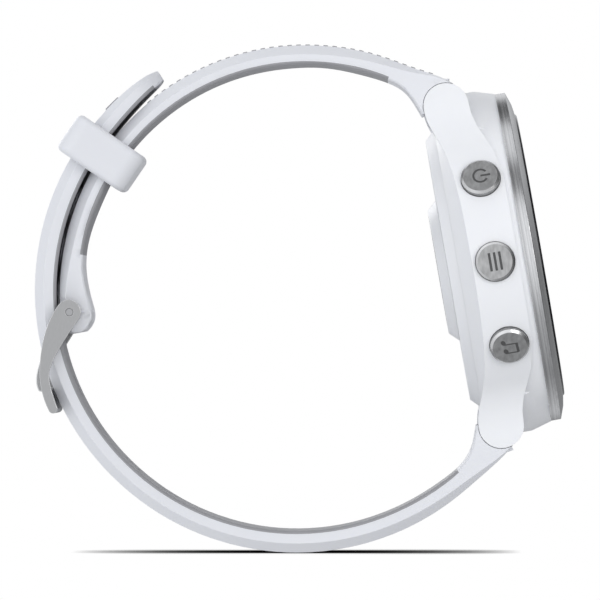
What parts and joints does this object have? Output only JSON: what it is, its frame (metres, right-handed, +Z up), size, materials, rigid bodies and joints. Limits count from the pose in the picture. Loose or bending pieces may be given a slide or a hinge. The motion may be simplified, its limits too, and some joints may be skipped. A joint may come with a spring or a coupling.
{
  "type": "gps running watch",
  "caption": "Round sports watch with side push-buttons, a metal bezel, a rear pulse sensor and a two-part silicone strap closed by a buckle and keeper.",
  "frame": {"origin": "centre of the wrist opening inside the buckled strap, midway across the strap", "axes": "+Y along the wearer's forearm, from the 9 o'clock side to the 3 o'clock side; +Z up round the strap towards 12 o'clock; +X out through the display, which leans 9.8 degrees up from +X"},
  "size_m": [0.0751, 0.0481, 0.0717],
  "materials": {
    "case_polymer": "satin moulded polymer",
    "bezel_metal": "circular brushed with a bright bevel",
    "seal_rubber": "matte",
    "lens_glass": "polished",
    "adhesive": "matte",
    "display_black": "gloss",
    "flex_polyimide": "satin",
    "chassis_polymer": "matte",
    "circuit_board": "satin",
    "chip_black": "matte",
    "contact_gold": "polished",
    "battery_foil": "satin",
    "bright_steel": "polished",
    "sensor_glass": "polished",
    "sensor_parts": "gloss",
    "vent_membrane": "matte",
    "button_metal": "fine brushed face, polished bevel",
    "strap_silicone": "soft matte",
    "strap_inner_silicone": "soft matte",
    "buckle_metal": "satin brushed, polished edges"
  },
  "bodies": {
    "case": {"case_body": "case_polymer", "bezel_ring": "bezel_metal", "bezel_gasket": "seal_rubber", "display_lens": "lens_glass", "lens_adhesive": "adhesive", "display_panel": "display_black", "display_flex": "flex_polyimide", "inner_chassis": "chassis_polymer", "main_board": "circuit_board", "board_chips": "chip_black", "gps_antenna": "contact_gold", "battery_cell": "battery_foil", "battery_flex": "flex_polyimide", "vibration_motor_can": "bright_steel", "buzzer_disc": "bright_steel", "back_cover": "case_polymer", "back_cover_gasket": "seal_rubber", "back_cover_screws": "bright_steel", "sensor_housing": "case_polymer", "sensor_window": "sensor_glass", "sensor_board": "circuit_board", "sensor_emitters": "sensor_parts", "charging_port": "chassis_polymer", "charging_contacts": "contact_gold", "pressure_vent": "vent_membrane", "button_bushings": "chassis_polymer", "button_switches": "chip_black"},
    "light_button_body": {"light_button": "button_metal", "light_button_seal": "seal_rubber", "light_button_clip": "bright_steel"},
    "menu_button_body": {"menu_button": "button_metal", "menu_button_seal": "seal_rubber", "menu_button_clip": "bright_steel"},
    "music_button_body": {"music_button": "button_metal", "music_button_seal": "seal_rubber", "music_button_clip": "bright_steel"},
    "start_button_body": {"start_button": "button_metal", "start_button_seal": "seal_rubber", "start_button_clip": "bright_steel"},
    "back_button_body": {"back_button": "button_metal", "back_button_seal": "seal_rubber", "back_button_clip": "bright_steel"},
    "motor_rotor": {"vibration_motor_rotor": "bright_steel"},
    "buckle_strap": {"strap_buckle_side": "strap_silicone", "strap_buckle_side_liner": "strap_inner_silicone", "spring_bar_12_tube": "bright_steel", "spring_bar_12_spring": "bright_steel", "buckle_spring_bar": "bright_steel"},
    "quick_release_12": {"spring_bar_12_plunger": "bright_steel"},
    "tail_strap": {"strap_tail_side": "strap_silicone", "strap_tail_side_liner": "strap_inner_silicone", "tail_stop_rib": "strap_inner_silicone", "spring_bar_6_tube": "bright_steel", "spring_bar_6_spring": "bright_steel"},
    "quick_release_6": {"spring_bar_6_plunger": "bright_steel"},
    "keeper_loop": {"keeper": "strap_silicone"},
    "buckle": {"buckle_frame": "buckle_metal"},
    "tongue": {"buckle_tongue": "buckle_metal"}
  },
  "joints": [
    {"name": "light_button_press", "type": "slide", "parent": "case", "child": "light_button_body", "axis": [0.0851, 0.866, -0.4927], "range_m": [0, 0.0004], "stiffness_N_per_m": 1500, "springref_m": -0.0005},
    {"name": "menu_button_press", "type": "slide", "parent": "case", "child": "menu_button_body", "axis": [0, 1, 0], "range_m": [0, 0.0004], "stiffness_N_per_m": 1500, "springref_m": -0.0005},
    {"name": "music_button_press", "type": "slide", "parent": "case", "child": "music_button_body", "axis": [-0.0851, 0.866, 0.4927], "range_m": [0, 0.0004], "stiffness_N_per_m": 1500, "springref_m": -0.0005},
    {"name": "start_button_press", "type": "slide", "parent": "case", "child": "start_button_body", "axis": [0.0851, -0.866, -0.4927], "range_m": [0, 0.0004], "stiffness_N_per_m": 1500, "springref_m": -0.0005},
    {"name": "back_button_press", "type": "slide", "parent": "case", "child": "back_button_body", "axis": [-0.0851, -0.866, 0.4927], "range_m": [0, 0.0004], "stiffness_N_per_m": 1500, "springref_m": -0.0005},
    {"name": "vibration_motor_spin", "type": "hinge", "parent": "case", "child": "motor_rotor", "pos_m": [0.02275, 0, 0.01755], "axis": [0.9854, 0, 0.1702], "continuous": true},
    {"name": "strap_12_hinge", "type": "hinge", "parent": "case", "child": "buckle_strap", "pos_m": [0.02053, 0, 0.02599], "axis": [0, 1, 0], "range_deg": [-0.1, 0.3]},
    {"name": "strap_6_hinge", "type": "hinge", "parent": "case", "child": "tail_strap", "pos_m": [0.02832, 0, -0.01914], "axis": [0, 1, 0], "range_deg": [-0.3, 0.3]},
    {"name": "quick_release_12_slide", "type": "slide", "parent": "buckle_strap", "child": "quick_release_12", "axis": [0, 1, 0], "range_m": [0, 0.0013], "stiffness_N_per_m": 300, "springref_m": -0.004},
    {"name": "quick_release_6_slide", "type": "slide", "parent": "tail_strap", "child": "quick_release_6", "axis": [0, 1, 0], "range_m": [0, 0.0013], "stiffness_N_per_m": 300, "springref_m": -0.004},
    {"name": "keeper_slide", "type": "hinge", "parent": "buckle_strap", "child": "keeper_loop", "pos_m": [0, 0, 0], "axis": [0, -1, 0], "range_deg": [-4, 12]},
    {"name": "buckle_swing", "type": "hinge", "parent": "buckle_strap", "child": "buckle", "pos_m": [-0.03268, 0, -0.00314], "axis": [0, 1, 0], "range_deg": [0, 5]},
    {"name": "tongue_lift", "type": "hinge", "parent": "buckle", "child": "tongue", "pos_m": [-0.03268, 0, -0.00314], "axis": [0, 1, 0], "range_deg": [0, 6]}
  ]
}
